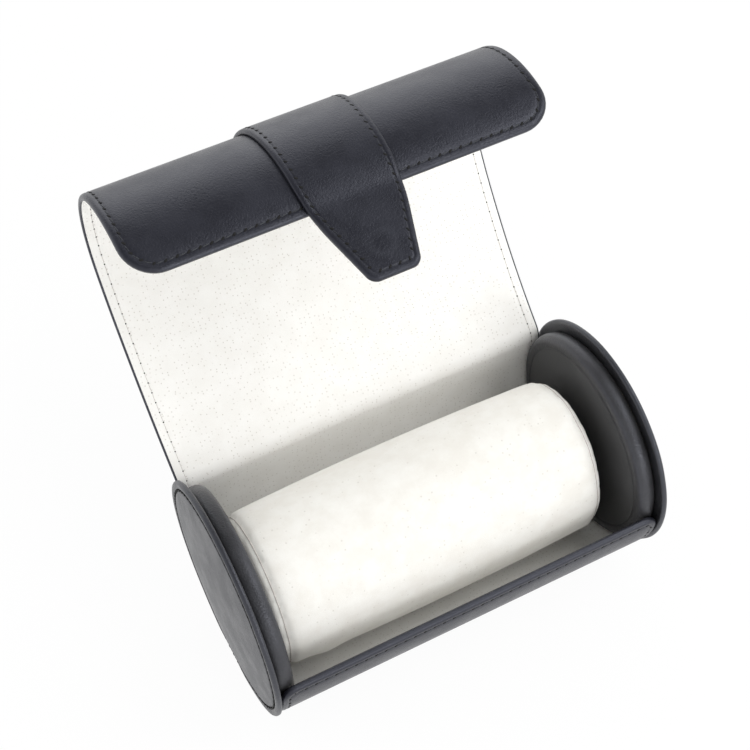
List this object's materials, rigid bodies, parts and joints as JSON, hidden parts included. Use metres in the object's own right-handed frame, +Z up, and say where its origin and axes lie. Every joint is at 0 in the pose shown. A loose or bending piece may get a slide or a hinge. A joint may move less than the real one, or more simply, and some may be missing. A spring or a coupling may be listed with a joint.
{
  "type": "watch travel case",
  "caption": "Cylindrical leather travel roll for wristwatches, open, with padded round ends, an oval cushion and a curling lid with a magnet tab.",
  "frame": {"origin": "middle of the flat foot under the roll", "axes": "+X along the roll, +Y towards the hinge at the back, +Z up"},
  "size_m": [0.1342, 0.1272, 0.1436],
  "materials": {
    "leather": "satin, fine grain",
    "matt_leather": "matt",
    "suede": "matt, fine pores",
    "board": "matt",
    "drum_board": "raw fibreboard",
    "padding": "felt",
    "filling": "wadding",
    "steel": "plain"
  },
  "bodies": {
    "case": {"base_board": "board", "base_leather": "leather", "base_lining": "suede", "catch_plate": "steel", "left_drum_band": "leather", "left_drum_core": "drum_board", "left_end_board": "board", "left_end_cover": "leather", "left_end_padding": "padding", "left_inner_face": "matt_leather", "right_drum_band": "leather", "right_drum_core": "drum_board", "right_end_board": "board", "right_end_cover": "leather", "right_end_padding": "padding", "right_inner_face": "matt_leather"},
    "cushion": {"cushion_cover": "suede", "cushion_filling": "filling", "cushion_left_end": "suede", "cushion_right_end": "suede"},
    "lid_back_1": {"lid_back_1_board": "board", "lid_back_1_leather": "leather", "lid_back_1_lining": "suede"},
    "lid_back_2": {"lid_back_2_board": "board", "lid_back_2_leather": "leather", "lid_back_2_lining": "suede"},
    "lid_back_3": {"lid_back_3_board": "board", "lid_back_3_leather": "leather", "lid_back_3_lining": "suede"},
    "lid_back_4": {"lid_back_4_board": "board", "lid_back_4_leather": "leather", "lid_back_4_lining": "suede"},
    "lid_top_1": {"lid_top_1_board": "board", "lid_top_1_leather": "leather", "lid_top_1_lining": "suede", "strap_top_1": "leather"},
    "lid_top_2": {"lid_top_2_board": "board", "lid_top_2_leather": "leather", "lid_top_2_lining": "suede", "strap_top_2": "leather"},
    "lid_flap": {"lid_flap_board": "board", "lid_flap_leather": "leather", "lid_flap_lining": "suede", "strap_flap": "leather"},
    "tab": {"tab_backing": "leather", "tab_leather": "leather", "tab_magnet": "steel"}
  },
  "joints": [
    {"name": "lid_hinge", "type": "hinge", "parent": "case", "child": "lid_back_1", "pos_m": [0, 0.0348, 0.046], "axis": [-1, 0, 0], "range_deg": [-79.5, 12]},
    {"name": "back_2_bend", "type": "hinge", "parent": "lid_back_1", "child": "lid_back_2", "pos_m": [0, 0.0483, 0.05713], "axis": [-1, 0, 0], "range_deg": [-22, 3.75]},
    {"name": "back_3_bend", "type": "hinge", "parent": "lid_back_2", "child": "lid_back_3", "pos_m": [0, 0.06078, 0.06939], "axis": [-1, 0, 0], "range_deg": [-23, 3.9]},
    {"name": "back_4_bend", "type": "hinge", "parent": "lid_back_3", "child": "lid_back_4", "pos_m": [0, 0.07226, 0.0826], "axis": [-1, 0, 0], "range_deg": [-22, 3.75]},
    {"name": "top_1_bend", "type": "hinge", "parent": "lid_back_4", "child": "lid_top_1", "pos_m": [0, 0.08216, 0.097], "axis": [-1, 0, 0], "range_deg": [-4.5, 1.1]},
    {"name": "top_2_bend", "type": "hinge", "parent": "lid_top_1", "child": "lid_top_2", "pos_m": [0, 0.08431, 0.12161], "axis": [-1, 0, 0], "range_deg": [-2.92, 16.5]},
    {"name": "flap_bend", "type": "hinge", "parent": "lid_top_2", "child": "lid_flap", "pos_m": [0, 0.06647, 0.13854], "axis": [-1, 0, 0], "range_deg": [-2.46, 13.5]},
    {"name": "tab_bend", "type": "hinge", "parent": "lid_flap", "child": "tab", "pos_m": [0, 0.04031, 0.13788], "axis": [-1, 0, 0], "range_deg": [-39, 30]},
    {"name": "cushion_lift", "type": "slide", "parent": "case", "child": "cushion", "axis": [0, 0, 1], "range_m": [0, 0.007]}
  ],
  "couplings": [
    {"joint": "back_2_bend", "follows": "lid_hinge", "ratio": 0.27044},
    {"joint": "back_3_bend", "follows": "lid_hinge", "ratio": 0.28302},
    {"joint": "back_4_bend", "follows": "lid_hinge", "ratio": 0.27044},
    {"joint": "top_1_bend", "follows": "lid_hinge", "ratio": 0.050314},
    {"joint": "top_2_bend", "follows": "lid_hinge", "ratio": -0.20126},
    {"joint": "flap_bend", "follows": "lid_hinge", "ratio": -0.16352}
  ]
}
